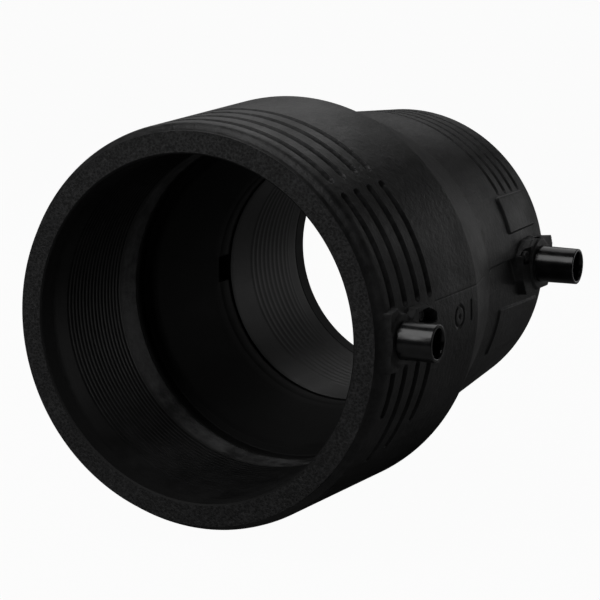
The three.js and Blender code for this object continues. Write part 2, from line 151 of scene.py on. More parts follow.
class Graph:
    """Node tree of one material or world."""

    def __init__(self, tree: bpy.types.NodeTree) -> None:
        """Start from an empty tree.

        Args:
            tree: The node tree to fill.
        """
        self.tree = tree
        tree.nodes.clear()

    def node(
        self, kind: str, settings: dict | None = None, inputs: dict | None = None
    ) -> bpy.types.Node:
        """Add any node, set what it does, then give its sockets values or links.

        Args:
            kind: Blender's node type.
            settings: Attributes to set first.
            inputs: Socket name or number, and a number, colour, signal or socket.

        Returns:
            The new node.
        """
        made = self.tree.nodes.new(kind)
        for key, value in (settings or {}).items():
            setattr(made, key, value)
        for key, value in (inputs or {}).items():
            socket = made.inputs[key]
            if isinstance(value, Signal):
                self.tree.links.new(value.socket, socket)
            elif isinstance(value, bpy.types.NodeSocket):
                self.tree.links.new(value, socket)
            elif isinstance(value, tuple) and len(value) == 3 and socket.type == "RGBA":
                socket.default_value = (*value, 1.0)
            else:
                socket.default_value = value
        return made

    def place(self) -> bpy.types.NodeSocket:
        """Position on the piece in metres."""
        return self.node("ShaderNodeTexCoord").outputs["Object"]

    def axes(self) -> tuple[Signal, Signal, Signal]:
        """Position on the piece in millimetres.

        Returns:
            The three coordinates.
        """
        scaled = self.node(
            "ShaderNodeVectorMath", {"operation": "SCALE"}, {0: self.place(), "Scale": 1000.0}
        )
        parts = self.node("ShaderNodeSeparateXYZ", {}, {0: scaled.outputs[0]})
        x, y, z = (Signal(self, socket) for socket in parts.outputs)
        return x, y, z

    def stretched(self, stretch: Colour) -> bpy.types.NodeSocket:
        """Position on the piece, scaled along each axis."""
        inputs = {0: self.place(), 1: stretch}
        return self.node("ShaderNodeVectorMath", {"operation": "MULTIPLY"}, inputs).outputs[0]

    def noise(
        self, scale: float, detail: float = 3.0, rough: float = 0.55, stretch: Colour = (1.0, 1.0, 1.0)
    ) -> Signal:
        """Cloudy noise with a mean of about one half.

        Args:
            scale: Features per metre.
            detail: Octaves.
            rough: Weight of the fine octaves.
            stretch: Scale along X, Y and Z.

        Returns:
            The noise value.
        """
        made = self.node(
            "ShaderNodeTexNoise",
            {"noise_dimensions": "3D"},
            {"Vector": self.stretched(stretch), "Scale": scale, "Detail": detail, "Roughness": rough},
        )
        return Signal(self, made.outputs["Fac"])

    def cells(self, scale: float, stretch: Colour = (1.0, 1.0, 1.0)) -> Signal:
        """Distance to the nearest of many scattered points.

        Args:
            scale: Points per metre.
            stretch: Scale along X, Y and Z.

        Returns:
            The distance.
        """
        inputs = {"Vector": self.stretched(stretch), "Scale": scale}
        made = self.node("ShaderNodeTexVoronoi", {"feature": "F1"}, inputs)
        return Signal(self, made.outputs["Distance"])

    def blend(self, mask: Signal, low: Colour, high: Colour) -> bpy.types.NodeSocket:
        """Mix of two colours.

        Args:
            mask: 0 gives the first colour and 1 the second.
            low: First colour.
            high: Second colour.

        Returns:
            The mixed colour's socket.
        """
        made = self.node(
            "ShaderNodeMix", {"data_type": "RGBA"}, {0: mask, 6: low, 7: high}
        )
        return made.outputs[2]

    def relief(self, layers: Sequence[tuple[Signal, float, float]]) -> bpy.types.NodeSocket:
        """Chain of bumps.

        Args:
            layers: Height, strength and distance in metres of each bump.

        Returns:
            The last bump's normal.
        """
        last = None
        for height, strength, distance in layers:
            inputs = {"Height": height, "Strength": strength, "Distance": distance}
            if last is not None:
                inputs["Normal"] = last
            last = self.node("ShaderNodeBump", {}, inputs).outputs["Normal"]
        return last

    def surface(self, inputs: dict) -> None:
        """Finish the tree with a principled surface.

        Args:
            inputs: Socket names with their values or links.
        """
        shader = self.node("ShaderNodeBsdfPrincipled", {}, inputs)
        self.node("ShaderNodeOutputMaterial", {}, {"Surface": shader.outputs["BSDF"]})


def new_material(name: str) -> tuple[bpy.types.Material, Graph]:
    """Make an empty material.

    Args:
        name: The material's name.

    Returns:
        The material and its graph.
    """
    material = bpy.data.materials.new(name)
    material.use_nodes = True
    return material, Graph(material.node_tree)


# ------------------------------------------------------------------------------- finishes


class Zone(Enum):
    """Parts of the moulding that are finished differently."""

    SKIN = 0
    SAWN_FACE = 1
    BORE = 2


@dataclass(frozen=True)
class MouldedSkin:
    """Satin black polyethylene with flow clouds and fine scuffs."""

    name: str = "moulded_polyethylene"
    dark: Colour = (0.0065, 0.0065, 0.0068)
    pale: Colour = (0.040, 0.040, 0.0408)
    gloss: float = 0.33
    gloss_spread: float = 0.30

    def make(self) -> bpy.types.Material:
        """Build the material.

        Returns:
            The finished material.
        """
        material, g = new_material(self.name)
        clouds = g.noise(26.0, 5.0, 0.62, (1.0, 0.55, 1.0))
        streaks = g.noise(150.0, 3.0, 0.6, (1.0, 0.12, 1.0))
        grain = g.noise(2600.0, 2.0, 0.6)
        mottle = g.noise(420.0, 4.0, 0.7)
        scuffs = g.cells(170.0, (1.0, 0.2, 1.0)).ramp(0.10, 0.02)
        tone = (clouds * 0.45 + mottle * 0.45 + streaks * 0.30).ramp(0.44, 0.76)
        patches = clouds.ramp(0.35, 0.7) * 0.7 + mottle * 0.5
        rough = self.gloss + self.gloss_spread * patches + 0.05 * grain
        normal = g.relief(
            [
                (clouds, 0.40, 0.0014),
                (mottle, 0.55, 0.0005),
                (grain, 0.28, 0.00008),
                (scuffs, 0.35, 0.0002),
            ]
        )
        g.surface(
            {
                "Base Color": g.blend(tone, self.dark, self.pale),
                "Roughness": rough,
                "Normal": normal,
                "Specular IOR Level": 0.5,
                "IOR": 1.51,
            }
        )
        return material


@dataclass(frozen=True)
class SawnFace:
    """Matt end face with the sandy grain that facing the moulding leaves."""

    name: str = "faced_polyethylene"
    dark: Colour = (0.004, 0.004, 0.0042)
    pale: Colour = (0.055, 0.055, 0.056)

    def make(self) -> bpy.types.Material:
        """Build the material.

        Returns:
            The finished material.
        """
        material, g = new_material(self.name)
        sand = g.noise(1500.0, 4.0, 0.75)
        specks = g.cells(1100.0)
        wash = g.noise(60.0, 3.0, 0.5)
        tone = (sand * 0.9 + specks * 0.35 + wash * 0.2).ramp(0.5, 1.05)
        g.surface(
            {
                "Base Color": g.blend(tone, self.dark, self.pale),
                "Roughness": 0.62 + 0.2 * sand,
                "Normal": g.relief([(sand, 0.75, 0.0004), (specks, 0.45, 0.00025)]),
                "IOR": 1.5,
            }
        )
        return material


@dataclass(frozen=True)
class WoundLining:
    """Smooth lining of a socket, with faint turning marks, smears and a painted highlight band."""

    name: str = "wound_lining"
    dark: Colour = (0.005, 0.005, 0.0052)
    pale: Colour = (0.024, 0.024, 0.0245)
    dulled: float = 0.34
    # Pale colour of the painted highlight band on the bore wall.
    painted_highlight: Colour = (0.170, 0.170, 0.172)

    def make(self) -> bpy.types.Material:
        """Build the material.

        Returns:
            The finished material.
        """
        material, g = new_material(self.name)
        smears = g.noise(55.0, 5.0, 0.65, (1.0, 0.35, 1.0))
        blots = g.noise(190.0, 4.0, 0.7)
        rings = g.noise(900.0, 2.0, 0.5, (0.02, 1.0, 0.02))
        tone = (smears * 0.8 + blots * 0.4).ramp(0.42, 0.86)
        rough = self.dulled + 0.22 * smears + 0.10 * blots
        y = g.axes()[1]
        # Painted highlight: a mottled pale band from 48.5 to 61 mm along the axis, where the bore wall
        # catches the light.
        lighter_tone = y.ramp(48.5, 52.0) * y.ramp(61.0, 59.5) * (smears * 0.6 + blots * 0.6).ramp(0.42, 0.80)
        g.surface(
            {
                "Base Color": g.blend(lighter_tone, g.blend(tone, self.dark, self.pale), self.painted_highlight),
                "Roughness": rough,
                "Normal": g.relief(
                    [(smears, 0.3, 0.0008), (rings, 0.22, 0.00012), (blots, 0.18, 0.00015)]
                ),
                "IOR": 1.51,
            }
        )
        return material


@dataclass(frozen=True)
class GlossPlastic:
    """Polished black plastic of the terminal shrouds."""

    name: str = "gloss_shroud"
    tint: Colour = (0.006, 0.006, 0.0065)
    lighter_tone: Colour = (0.018, 0.018, 0.019)

    def make(self) -> bpy.types.Material:
        """Build the material.

        Returns:
            The finished material.
        """
        material, g = new_material(self.name)
        haze = g.noise(300.0, 4.0, 0.6)
        lines = g.noise(1400.0, 2.0, 0.5, (0.08, 1.0, 1.0))
        tone = (haze * 0.8 + lines * 0.3).ramp(0.45, 0.85)
        g.surface(
            {
                "Base Color": g.blend(tone, self.tint, self.lighter_tone),
                "Roughness": 0.16 + 0.16 * haze,
                "Normal": g.relief([(haze, 0.12, 0.0003), (lines, 0.10, 0.00008)]),
                "IOR": 1.53,
                "Coat Weight": 0.25,
                "Coat Roughness": 0.12,
            }
        )
        return material


class Alloy(Enum):
    """Metals of the conductors."""

    BRASS = ("contact_brass", (0.50, 0.36, 0.14), (0.30, 0.20, 0.08), 0.26)
    COPPER_ALLOY = ("heating_alloy", (0.46, 0.22, 0.13), (0.22, 0.10, 0.06), 0.34)


@dataclass(frozen=True)
class Metal:
    """Turned or drawn metal with a little tarnish."""

    alloy: Alloy

    def make(self) -> bpy.types.Material:
        """Build the material.

        Returns:
            The finished material.
        """
        name, bright, dull, gloss = self.alloy.value
        material, g = new_material(name)
        tarnish = g.noise(700.0, 4.0, 0.65)
        turning = g.noise(3000.0, 2.0, 0.5, (1.0, 0.05, 0.05))
        g.surface(
            {
                "Base Color": g.blend(tarnish.ramp(0.4, 0.75), bright, dull),
                "Metallic": 1.0,
                "Roughness": gloss + 0.25 * tarnish,
                "Normal": g.relief([(turning, 0.2, 0.00004)]),
            }
        )
        return material


# ---------------------------------------------------------------------------- mesh helpers


def step(low: float, high: float, value: Array) -> Array:
    """Smooth step from 0 at low to 1 at high; low may be the larger.

    Args:
        low: Value that gives 0.
        high: Value that gives 1.
        value: Values to step.

    Returns:
        Numbers from 0 to 1.
    """
    t = np.clip((value - low) / (high - low), 0.0, 1.0)
    return t * t * (3.0 - 2.0 * t)


def outline_distance(a: Array, b: Array, outline: Sequence[tuple[float, float]]) -> Array:
    """Signed distance to a closed outline, negative inside.

    Args:
        a: First coordinates.
        b: Second coordinates.
        outline: Corners in order.

    Returns:
        The distances.
    """
    nearest = np.full(a.shape, np.inf)
    inside = np.zeros(a.shape, bool)
    for (x0, y0), (x1, y1) in zip(outline, [*outline[1:], outline[0]]):
        ex, ey = x1 - x0, y1 - y0
        wx, wy = a - x0, b - y0
        t = np.clip((wx * ex + wy * ey) / (ex * ex + ey * ey), 0.0, 1.0)
        nearest = np.minimum(nearest, (wx - ex * t) ** 2 + (wy - ey * t) ** 2)
        crosses = (y0 > b) != (y1 > b)
        if y1 != y0:
            inside ^= crosses & (a < (x1 - x0) * (b - y0) / (y1 - y0) + x0)
    distance = np.sqrt(nearest)
    return np.where(inside, -distance, distance)


def merged(*ranges: tuple[float, float, float]) -> Array:
    """Ordered places with the finest spacing that any range asks for.

    Args:
        ranges: Start, end and spacing of each stretch; later ones override.

    Returns:
        Increasing values.
    """
    values: list[float] = []
    for start, end, spacing in ranges:
        values = [v for v in values if not start - JOIN <= v <= end + JOIN]
        values.extend(np.linspace(start, end, max(2, round((end - start) / spacing) + 1)))
    return np.array(sorted(values))


def thinned(values: Iterable[float], least: float) -> Array:
    """Sorted values with those closer than a least spacing dropped.

    Args:
        values: Values in any order.
        least: The least spacing.

    Returns:
        The values kept.
    """
    kept: list[float] = []
    for value in sorted(values):
        if not kept or value - kept[-1] >= least:
            kept.append(float(value))
    return np.array(kept)


def mesh_object(
    name: str,
    vertices: Array,
    faces: Array,
    materials: Sequence[bpy.types.Material],
    zones: Array | None = None,
) -> bpy.types.Object:
    """Make an object from vertices in millimetres and quads.

    Args:
        name: The object's name.
        vertices: Corner positions, one row each.
        faces: Corner numbers of each quad.
        materials: Material slots.
        zones: Slot number of each face.

    Returns:
        The object, linked to the scene.
    """
    mesh = bpy.data.meshes.new(name)
    mesh.vertices.add(len(vertices))
    mesh.vertices.foreach_set("co", (vertices * MM).astype(np.float32).ravel())
    mesh.loops.add(faces.size)
    mesh.loops.foreach_set("vertex_index", faces.astype(np.int32).ravel())
    mesh.polygons.add(len(faces))
    width = faces.shape[1]
    mesh.polygons.foreach_set("loop_start", np.arange(0, faces.size, width, dtype=np.int32))
    mesh.polygons.foreach_set("loop_total", np.full(len(faces), width, np.int32))
    for material in materials:
        mesh.materials.append(material)
    if zones is not None:
        mesh.polygons.foreach_set("material_index", zones.astype(np.int32))
    mesh.update(calc_edges=True)
    mesh.validate()
    mesh.shade_smooth()
    made = bpy.data.objects.new(name, mesh)
    bpy.context.scene.collection.objects.link(made)
    return made


def sharpen(piece: bpy.types.Object, angle: float) -> None:
    """Split the shading where faces meet at more than an angle.

    Args:
        piece: A mesh object.
        angle: The angle in degrees.
    """
    piece.data.set_sharp_from_angle(angle=math.radians(angle))


def ring_faces(columns: int, rows: int) -> Array:
    """Quads of a grid that closes in both directions.

    Args:
        columns: Vertices round the axis.
        rows: Vertices along the closed profile.

    Returns:
        Corner numbers, facing outwards when rows run outwards, back and in.
    """
    i = np.arange(columns)
    j = np.arange(rows)
    grid_i, grid_j = np.meshgrid(i, j, indexing="ij")
    next_i = (grid_i + 1) % columns
    next_j = (grid_j + 1) % rows
    quads = np.stack(
        [grid_i * rows + grid_j, next_i * rows + grid_j, next_i * rows + next_j, grid_i * rows + next_j],
        axis=-1,
    )
    return quads.reshape(-1, 4)


def ring_piece(
    name: str,
    angles: Array,
    radius: Array,
    along: Array,
    materials: Sequence[bpy.types.Material],
    zones: Array | None = None,
) -> bpy.types.Object:
    """Closed ring about the pipe axis.

    Args:
        name: The object's name.
        angles: Column angles in degrees.
        radius: Radius at each column and row.
        along: Position along the axis at each column and row.
        materials: Material slots.
        zones: Slot number of each row.

    Returns:
        The object.
    """
    turn = np.radians(angles)[:, None]
    points = np.stack([radius * np.cos(turn), along, radius * np.sin(turn)], axis=-1)
    faces = ring_faces(*radius.shape)
    slots = None if zones is None else np.tile(zones, len(angles))
    return mesh_object(name, points.reshape(-1, 3), faces, materials, slots)


def outward_object(
    name: str, shape: bmesh.types.BMesh, materials: Sequence[bpy.types.Material]
) -> bpy.types.Object:
    """Make an object from a closed shape, with its faces turned outwards.

    Args:
        name: The object's name.
        shape: The shape, which is freed.
        materials: Material slots.

    Returns:
        The object, linked to the scene.
    """
    bmesh.ops.recalc_face_normals(shape, faces=shape.faces)
    mesh = bpy.data.meshes.new(name)
    shape.to_mesh(mesh)
    shape.free()
    for material in materials:
        mesh.materials.append(material)
    mesh.shade_smooth()
    made = bpy.data.objects.new(name, mesh)
    bpy.context.scene.collection.objects.link(made)
    return made


def turned_along_x(
    name: str,
    profile: Sequence[tuple[float, float]],
    centre: tuple[float, float],
    materials: Sequence[bpy.types.Material],
    columns: int = 72,
) -> bpy.types.Object:
    """Closed turned piece on a line along +X.

    Args:
        name: The object's name.
        profile: Radius and x pairs from the axis back to the axis.
        centre: The line's y and z.
        materials: Material slots.
        columns: Facets round the line.

    Returns:
        The object.
    """
    shape = bmesh.new()
    rings = []
    for radius, x in profile:
        if radius < JOIN:
            rings.append([shape.verts.new(Vector((x, centre[0], centre[1])) * MM)])
            continue
        ring = []
        for k in range(columns):
            turn = 2.0 * math.pi * k / columns
            y = centre[0] + radius * math.cos(turn)
            z = centre[1] + radius * math.sin(turn)
            ring.append(shape.verts.new(Vector((x, y, z)) * MM))
        rings.append(ring)
    for low, high in zip(rings, rings[1:]):
        for k in range(columns):
            n = (k + 1) % columns
            corners = [low[k % len(low)], low[n % len(low)], high[n % len(high)], high[k % len(high)]]
            unique = list(dict.fromkeys(corners))
            if len(unique) > 2:
                shape.faces.new(unique)
    return outward_object(name, shape, materials)


def rounded(profile: Sequence[tuple[float, float, float]], steps: int = 5) -> list[tuple[float, float]]:
    """Round the corners of an open profile.

    Args:
        profile: Radius, position and corner radius of each point.
        steps: Points on each rounded corner.

    Returns:
        The finer profile.
    """
    out: list[tuple[float, float]] = []
    for k, (radius, place, corner) in enumerate(profile):
        here = Vector((radius, place))
        if corner <= 0.0 or k in (0, len(profile) - 1):
            out.append((radius, place))
            continue
        before = (Vector(profile[k - 1][:2]) - here).normalized()
        after = (Vector(profile[k + 1][:2]) - here).normalized()
        for n in range(steps + 1):
            t = n / steps
            start = here + before * corner
            end = here + after * corner
            point = start * (1 - t) ** 2 + here * 2 * t * (1 - t) + end * t * t
            out.append((point.x, point.y))
    return out


def wire_along(
    name: str, points: Array, radius: float, material: bpy.types.Material, sides: int = 8
) -> bpy.types.Object:
    """Closed round wire through a row of points, with flat ends.

    Args:
        name: The object's name.
        points: Centre line in millimetres.
        radius: Wire radius in millimetres.
        material: Its material.
        sides: Facets of the section.

    Returns:
        The object.
    """
    tangent = np.gradient(points, axis=0)
    tangent /= np.linalg.norm(tangent, axis=1, keepdims=True)
    outward = points * np.array([1.0, 0.0, 1.0])
    outward /= np.linalg.norm(outward, axis=1, keepdims=True)
    side = np.cross(tangent, outward)
    side /= np.linalg.norm(side, axis=1, keepdims=True)
    up = np.cross(side, tangent)
    shape = bmesh.new()
    rings = []
    for centre, a, b in zip(points, side, up):
        ring = []
        for k in range(sides):
            turn = 2.0 * math.pi * k / sides
            corner = centre + radius * (math.cos(turn) * a + math.sin(turn) * b)
            ring.append(shape.verts.new(Vector(corner) * MM))
        rings.append(ring)
    for low, high in zip(rings, rings[1:]):
        for k in range(sides):
            n = (k + 1) % sides
            shape.faces.new([low[k], low[n], high[n], high[k]])
    shape.faces.new(rings[0])
    shape.faces.new(rings[-1])
    return outward_object(name, shape, [material])


def dress(piece: bpy.types.Object, body: str, slot: str, *nodes: str) -> bpy.types.Object:
    """Say what a finished piece rides on and stands for.

    Args:
        piece: The finished object.
        body: The CAD body it moves with.
        slot: Not used.
        nodes: CAD nodes it replaces.

    Returns:
        The same object.
    """
    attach(piece, body)
    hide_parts(*nodes)
    LOG.info("%s rides on %s and stands for %s", piece.name, body, ", ".join(nodes))
    return piece


# ----------------------------------------------------------------------------- the moulding


@dataclass(frozen=True)
class GrooveSet:
    """Grip grooves of one end: where they are and how far each arc runs."""

    centres: tuple[float, ...]
    arcs: tuple[tuple[float, float], ...]
    trims: tuple[float, ...]
    width: float = 2.7
    depth: float = 1.9
    lip: float = 0.2
    flank: float = 0.45

    def cut(self, radius: Array, angles: Array, along: Array) -> Array:
        """Depth of the grooves at each place.

        Args:
            radius: Surface radius.
            angles: Column angles in degrees.
            along: Positions along the axis.

        Returns:
            Depth in millimetres.
        """
        depth = np.zeros(radius.shape)
        half = self.width / 2
        for number, centre in enumerate(self.centres):
            for low, high in self.arcs:
                if high < 0:
                    low = -self.trims[number]
                middle = math.radians((low + high) / 2)
                reach = math.radians(high - low) / 2
                offset = (np.radians(angles) - middle + math.pi) % (2 * math.pi) - math.pi
                arc = np.maximum(np.abs(offset) - reach, 0.0) * radius
                away = np.sqrt(arc**2 + (along - centre) ** 2)
                fall = step(half + self.lip, half - self.flank, away)
                depth = np.maximum(depth, self.depth * fall)
        return depth


@dataclass(frozen=True)
class RaisedPad:
    """Bare raised pad on the curved wall."""

    low_angle: float
    high_angle: float
    start: float
    end: float
    height: float
    skew: float = 0.0
    edge: float = 0.35
    corner: float = 1.2

    def rise(self, radius: Array, angles: Array, along: Array) -> Array:
        """Height of the pad at each place.

        Args:
            radius: Surface radius.
            angles: Column angles in degrees, from -180 to 180.
            along: Positions along the axis.

        Returns:
            Height in millimetres.
        """
        middle = (self.start + self.end) / 2
        centre = (self.low_angle + self.high_angle) / 2 + self.skew * (along - middle)
        half = (self.high_angle - self.low_angle) / 2
        across = (np.abs(angles - centre) - half) * np.pi / 180 * radius
        lengthwise = np.abs(along - middle) - (self.end - self.start) / 2
        outside = np.hypot(
            np.maximum(across + self.corner, 0), np.maximum(lengthwise + self.corner, 0)
        )
        inside = np.minimum(np.maximum(across, lengthwise) + self.corner, 0)
        distance = outside + inside - self.corner
        return self.height * step(self.edge, -self.edge, distance)


@dataclass(frozen=True)
class Outlined:
    """Flat-topped island or flat-bottomed pocket seen square on from +X."""

    outline: tuple[tuple[float, float], ...]
    level: float
    edge: float = 0.3
    slope: float = 0.0
    tilt: float = 0.0

    def blend(self, radius: Array, turn: Array, along: Array, raise_only: bool) -> Array:
        """Surface radius with the shape worked in.

        Args:
            radius: Surface radius before.
            turn: Column angles in radians.
            along: Positions along the axis.
            raise_only: True for an island, which never cuts.

        Returns:
            Surface radius after.
        """
        near = np.cos(turn) > FACING
        height = radius * np.sin(turn)
        distance = outline_distance(along, height, self.outline)
        mask = step(self.edge, -self.edge, distance) * near
        level = self.level + self.slope * (along - self.outline[0][0])
        level = level + self.tilt * (self.outline[1][1] - height)
        target = level / np.maximum(np.cos(turn), STEEPEST)
        target = np.maximum(target, radius) if raise_only else np.minimum(target, radius)
        return radius + (target - radius) * mask


@dataclass(frozen=True)
class RoundBoss:
    """Round boss that a shroud stands in."""

    y: float
    z: float
    radius: float
    level: float
    edge: float = 0.35

    def blend(self, radius: Array, turn: Array, along: Array) -> Array:
        """Surface radius with the boss worked in.

        Args:
            radius: Surface radius before.
            turn: Column angles in radians.
            along: Positions along the axis.

        Returns:
            Surface radius after.
        """
        near = np.cos(turn) > FACING
        distance = np.hypot(along - self.y, radius * np.sin(turn) - self.z) - self.radius
        mask = step(self.edge, -self.edge, distance) * near
        target = self.level / np.maximum(np.cos(turn), STEEPEST)
        return radius + (np.maximum(target, radius) - radius) * mask


@dataclass(frozen=True)
class PlainMarks:
    """Shallow marks with no lettering: a dial ring, a dash and the parting line."""

    wall_radius: float = 67.2
    dial_y: float = 57.0
    dial_arc: float = 0.9
    dial_radius: float = 3.4
    dial_depth: float = 0.45
    dash_y: float = 66.2
    dash_arc: float = 1.6
    dash_half_width: float = 0.5
    dash_half_length: float = 3.4
    dash_depth: float = 0.55
    line_arc: float = 8.9
    line_depth: float = 0.14

    def sink(self, angles: Array, along: Array) -> Array:
        """Change of radius at each place.

        Args:
            angles: Column angles in degrees.
            along: Positions along the axis.

        Returns:
            Change in millimetres, negative where a mark is cut.
        """
        arc = angles * math.pi / 180 * self.wall_radius
        away = np.hypot(along - self.dial_y, arc - self.dial_arc)
        ring = step(0.55, 0.15, np.abs(away - self.dial_radius)) + step(0.9, 0.5, away)
        lengthwise = np.abs(along - self.dash_y) - self.dash_half_width
        across = np.abs(arc - self.dash_arc) - self.dash_half_length
        dash = step(0.25, -0.25, np.maximum(lengthwise, across))
        line = step(0.30, 0.05, np.abs(arc - self.line_arc))
        line = line * step(37.0, 39.0, along) * step(93.0, 91.0, along)
        return -self.dial_depth * ring - self.dash_depth * dash - self.line_depth * line


def moulding_profile() -> list[tuple[float, float]]:
    """Plain outer wall, before anything is worked into it.

    Returns:
        Position and radius pairs.
    """
    return [
        (0.0, 62.45),
        (2.1, 62.45),
        (2.4, 62.7),
        (3.4, 64.25),
        (4.3, 64.7),
        (5.5, 64.88),
        (70.9, 67.63),
        (71.6, 67.62),
        (72.2, 67.45),
        (104.0, 59.3),
        (105.2, 59.12),
        (170.9, 55.24),
        (171.6, 55.0),
        (172.0, 54.5),
    ]


Outline = tuple[tuple[float, float], ...]
GUSSET: Outline = (
    (4.0, 10.6), (9.0, 11.2), (17.5, 6.6), (20.0, 3.0),
    (20.0, -2.0), (15.5, -5.2), (9.0, -8.0), (4.0, -7.6),
)
LARGE_HOUSING: Outline = (
    (16.5, 6.4), (20.0, 9.6), (28.5, 9.6), (36.5, 6.6), (39.5, 2.6), (38.0, 1.6), (16.5, 1.6),
)
SMALL_HOUSING: Outline = (
    (137.0, 7.6), (146.0, 12.2), (167.0, 11.0), (169.0, 7.5), (165.0, -6.5), (141.0, -6.5), (137.0, -1.0),
)
LARGE_POCKET: Outline = ((22.5, 8.3), (33.0, 8.3), (36.4, 5.8), (37.0, 3.2), (22.5, 3.2))
SMALL_NICHE: Outline = ((137.6, 10.2), (144.7, 10.2), (144.7, 4.8), (137.6, 4.8))
SMALL_RECESS: Outline = (
    (94.0, 3.4), (106.8, 8.1), (136.0, 7.5), (136.0, -1.0), (124.0, -4.0), (109.0, -2.0),
)


@dataclass
class Moulding:
    """The black body: two sockets, the taper between them and everything on its wall."""

    large_grooves: GrooveSet = GrooveSet(
        (9.5, 18.1, 27.0, 35.6),
        ((49.5, 130.5), (10.8, 42.5), (137.5, 169.0), (-36.0, -8.0), (188.0, 214.0)),
        (19.0, 35.5, 32.5, 25.0),
        3.1,
        3.0,
    )
    small_grooves: GrooveSet = GrooveSet(
        (138.4, 146.2, 154.0, 161.8), ((32.2, 147.8),), (0.0, 0.0, 0.0, 0.0), 2.6, 2.6
    )
    upper_pad: RaisedPad = RaisedPad(16.5, 30.0, 133.0, 164.5, 0.9, 0.0)
    lower_pad: RaisedPad = RaisedPad(-27.0, -10.0, 118.0, 166.0, 0.7, -0.08)
    bore_radius: float = 55.3
    small_bore_radius: float = 44.9
    mouth_radius: float = 45.6
    stop_radius: float = 52.4
    length: float = 172.0
    notch_width: float = 9.0
    notch_depth: float = 2.6
    islands: tuple[Outlined, ...] = (
        Outlined(GUSSET, 65.9),
        Outlined(LARGE_HOUSING, 67.3),
        Outlined(SMALL_HOUSING, 59.6),
    )
    pockets: tuple[Outlined, ...] = (
        Outlined(LARGE_POCKET, 63.4, 0.25),
        Outlined(SMALL_NICHE, 58.0, 0.25),
        Outlined(SMALL_RECESS, 59.6, 0.3, -0.115, 0.22),
    )
    bosses: tuple[RoundBoss, ...] = (
        RoundBoss(12.0, 1.5, 8.1, 66.5),
        RoundBoss(154.0, 3.0, 9.3, 60.2),
    )
    marks: PlainMarks = PlainMarks()

    def columns(self) -> Array:
        """Column angles, closest together where the wall has detail.

        Returns:
            Angles in degrees from -180 to 180.
        """
        values = merged(
            (-180.0, 178.8, 1.2),
            (-40.0, -14.0, 0.6),
            (-14.0, 34.0, 0.3),
            (34.0, 56.0, 0.6),
            (127.0, 141.0, 0.7),
            (166.0, 172.0, 0.6),
        )
        notch = math.degrees(self.notch_width / 2 / self.mouth_radius)
        extra = [s * 180 - s * (notch + d) for s in (1, -1) for d in (-0.12, 0.12)]
        return thinned([*values, *extra], 0.1)

    def outer_rows(self) -> Array:
        """Row positions on the outer wall, closest together at every edge.

        Returns:
            Positions along the axis.
        """
        spacing = ((0.0, self.length, 2.0), (2.0, 42.0, 0.45), (51.0, 69.0, 0.35), (92.0, 171.0, 0.55))
        values = list(merged(*spacing))
        values.extend(y for y, _ in moulding_profile())
        for group in (self.large_grooves, self.small_grooves):
            half = group.width / 2
            offsets = [s * (half + d) for s in (-1, 1) for d in (-0.45, -0.2, 0.0, 0.2)]
            values.extend(centre + offset for centre in group.centres for offset in offsets)
        return thinned(values, 0.12)

    def outer_radius(self, angles: Array, along: Array) -> Array:
        """Radius of the outer wall at every column and row.

        Args:
            angles: Column angles in degrees.
            along: Positions along the axis.

        Returns:
            Radius in millimetres.
        """
        profile = moulding_profile()
        base = np.interp(along, [p[0] for p in profile], [p[1] for p in profile])
        wide = np.broadcast_to(angles, base.shape)
        turn = np.radians(wide)
        radius = base - self.large_grooves.cut(base, wide, along)
        radius = radius - self.small_grooves.cut(base, wide, along)
        radius = radius + self.upper_pad.rise(base, wide, along)
        radius = radius + self.lower_pad.rise(base, wide, along)
        for island in self.islands:
            radius = island.blend(radius, turn, along, True)
        for boss in self.bosses:
            radius = boss.blend(radius, turn, along)
        for pocket in self.pockets:
            radius = pocket.blend(radius, turn, along, False)
        return radius + self.marks.sink(wide, along)

    def inner_profile(self) -> list[tuple[float, float, int]]:
        """Inner wall from the small rim back to the large face.

        Returns:
            Radius, position and zone of each row.
        """
        skin, face, bore = Zone.SKIN.value, Zone.SAWN_FACE.value, Zone.BORE.value
        cone = [
            (
                self.mouth_radius + (self.stop_radius - self.mouth_radius) * t,
                103.7 + (66.4 - 103.7) * t,
                bore,
            )
            for t in np.linspace(0.02, 1.0, 12)
        ]
        return [
            (50.0, 172.0, face),
            (self.small_bore_radius + 0.5, 172.0, bore),
            (self.small_bore_radius, 171.5, bore),
            (self.small_bore_radius, 168.0, bore),
            (self.small_bore_radius, 165.1, bore),
            (49.5, 165.1, bore),
            (49.5, 110.8, bore),
            (self.mouth_radius + 0.1, 110.8, bore),
            (self.mouth_radius, 110.5, bore),
            (self.mouth_radius, 107.5, bore),
            (self.mouth_radius, 104.1, bore),
            (self.mouth_radius + 0.15, 103.8, bore),
            *cone,
            (self.stop_radius + 0.3, 66.0, bore),
            (self.bore_radius - 0.2, 66.0, bore),
            (self.bore_radius, 65.8, bore),
            (self.bore_radius, 63.0, bore),
            (self.bore_radius, 60.2, bore),
            (59.1, 60.2, bore),
            (59.1, 6.8, bore),
            (self.bore_radius, 6.8, bore),
            (self.bore_radius, 3.0, bore),
            (self.bore_radius, 0.5, bore),
            (self.bore_radius + 0.5, 0.0, face),
            (58.5, 0.0, face),
            (62.1, 0.0, face),
        ]

